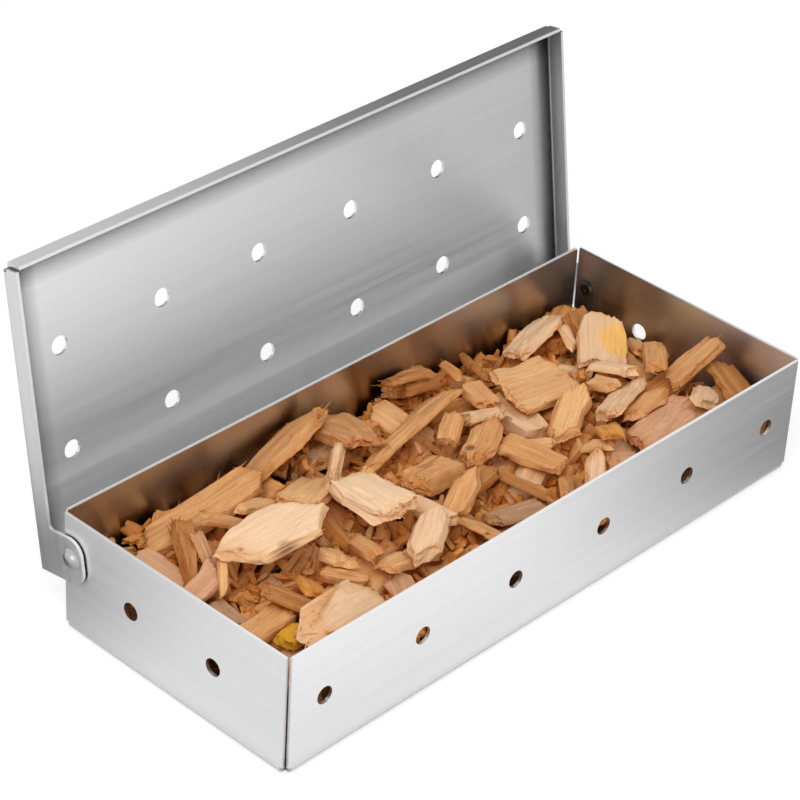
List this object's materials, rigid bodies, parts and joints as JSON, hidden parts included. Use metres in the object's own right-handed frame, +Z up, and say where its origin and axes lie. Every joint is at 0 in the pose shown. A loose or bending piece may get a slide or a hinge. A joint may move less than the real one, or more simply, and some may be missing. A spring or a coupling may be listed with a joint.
{
  "type": "grill smoker box",
  "caption": "Long folded stainless tray with vented walls, filled with split wood chips, and a hinged lid with two rows of vents, stored standing open.",
  "frame": {"origin": "centre of the tray's underside, on the surface that the box stands on", "axes": "+X along the box towards its right end, +Y from the front wall to the hinge side, +Z up; the lid stands open as in the picture"},
  "size_m": [0.229, 0.1142, 0.1133],
  "materials": {
    "rivet_steel": "satin",
    "stainless_sheet": "brushed along its length",
    "wood_amber": "raw split wood",
    "wood_cream": "raw split wood",
    "wood_pink": "raw split wood",
    "wood_shade": "raw split wood",
    "wood_tan": "raw split wood"
  },
  "bodies": {
    "box": {"chip_bed_back_1": "wood_shade", "chip_bed_back_2": "wood_shade", "chip_bed_back_3": "wood_shade", "chip_bed_back_4": "wood_shade", "chip_bed_front_1": "wood_shade", "chip_bed_front_2": "wood_shade", "chip_bed_front_3": "wood_shade", "chip_bed_front_4": "wood_shade", "rivet_left": "rivet_steel", "rivet_right": "rivet_steel", "tray": "stainless_sheet", "wood_chip_01": "wood_amber", "wood_chip_02": "wood_tan", "wood_chip_03": "wood_tan", "wood_chip_05": "wood_tan", "wood_chip_06": "wood_tan", "wood_chip_07": "wood_pink", "wood_chip_09": "wood_tan", "wood_chip_12": "wood_pink", "wood_chip_15": "wood_pink", "wood_chip_16": "wood_tan", "wood_chip_17": "wood_amber", "wood_chip_18": "wood_tan", "wood_chip_19": "wood_tan", "wood_chip_20": "wood_cream", "wood_chip_21": "wood_tan", "wood_chip_22": "wood_tan", "wood_chip_23": "wood_amber", "wood_chip_24": "wood_cream", "wood_chip_25": "wood_tan", "wood_chip_27": "wood_tan", "wood_chip_28": "wood_pink", "wood_chip_30": "wood_cream", "wood_chip_33": "wood_pink", "wood_chip_34": "wood_tan", "wood_chip_35": "wood_tan", "wood_chip_36": "wood_tan", "wood_chip_37": "wood_pink", "wood_chip_38": "wood_tan", "wood_chip_40": "wood_tan", "wood_chip_41": "wood_amber", "wood_chip_42": "wood_tan", "wood_chip_43": "wood_tan", "wood_chip_44": "wood_pink", "wood_chip_45": "wood_tan", "wood_chip_49": "wood_amber", "wood_chip_50": "wood_pink", "wood_chip_52": "wood_tan", "wood_chip_54": "wood_pink", "wood_chip_59": "wood_pink", "wood_chip_60": "wood_pink", "wood_chip_61": "wood_cream", "wood_chip_62": "wood_cream", "wood_chip_63": "wood_amber", "wood_chip_64": "wood_pink", "wood_chip_65": "wood_amber", "wood_chip_66": "wood_pink"},
    "lid": {"lid": "stainless_sheet"}
  },
  "joints": [
    {"name": "lid_hinge", "type": "hinge", "parent": "box", "child": "lid", "pos_m": [0, 0.0401, 0.0272], "axis": [-1, 0, 0], "range_deg": [-98.35, 30]}
  ]
}
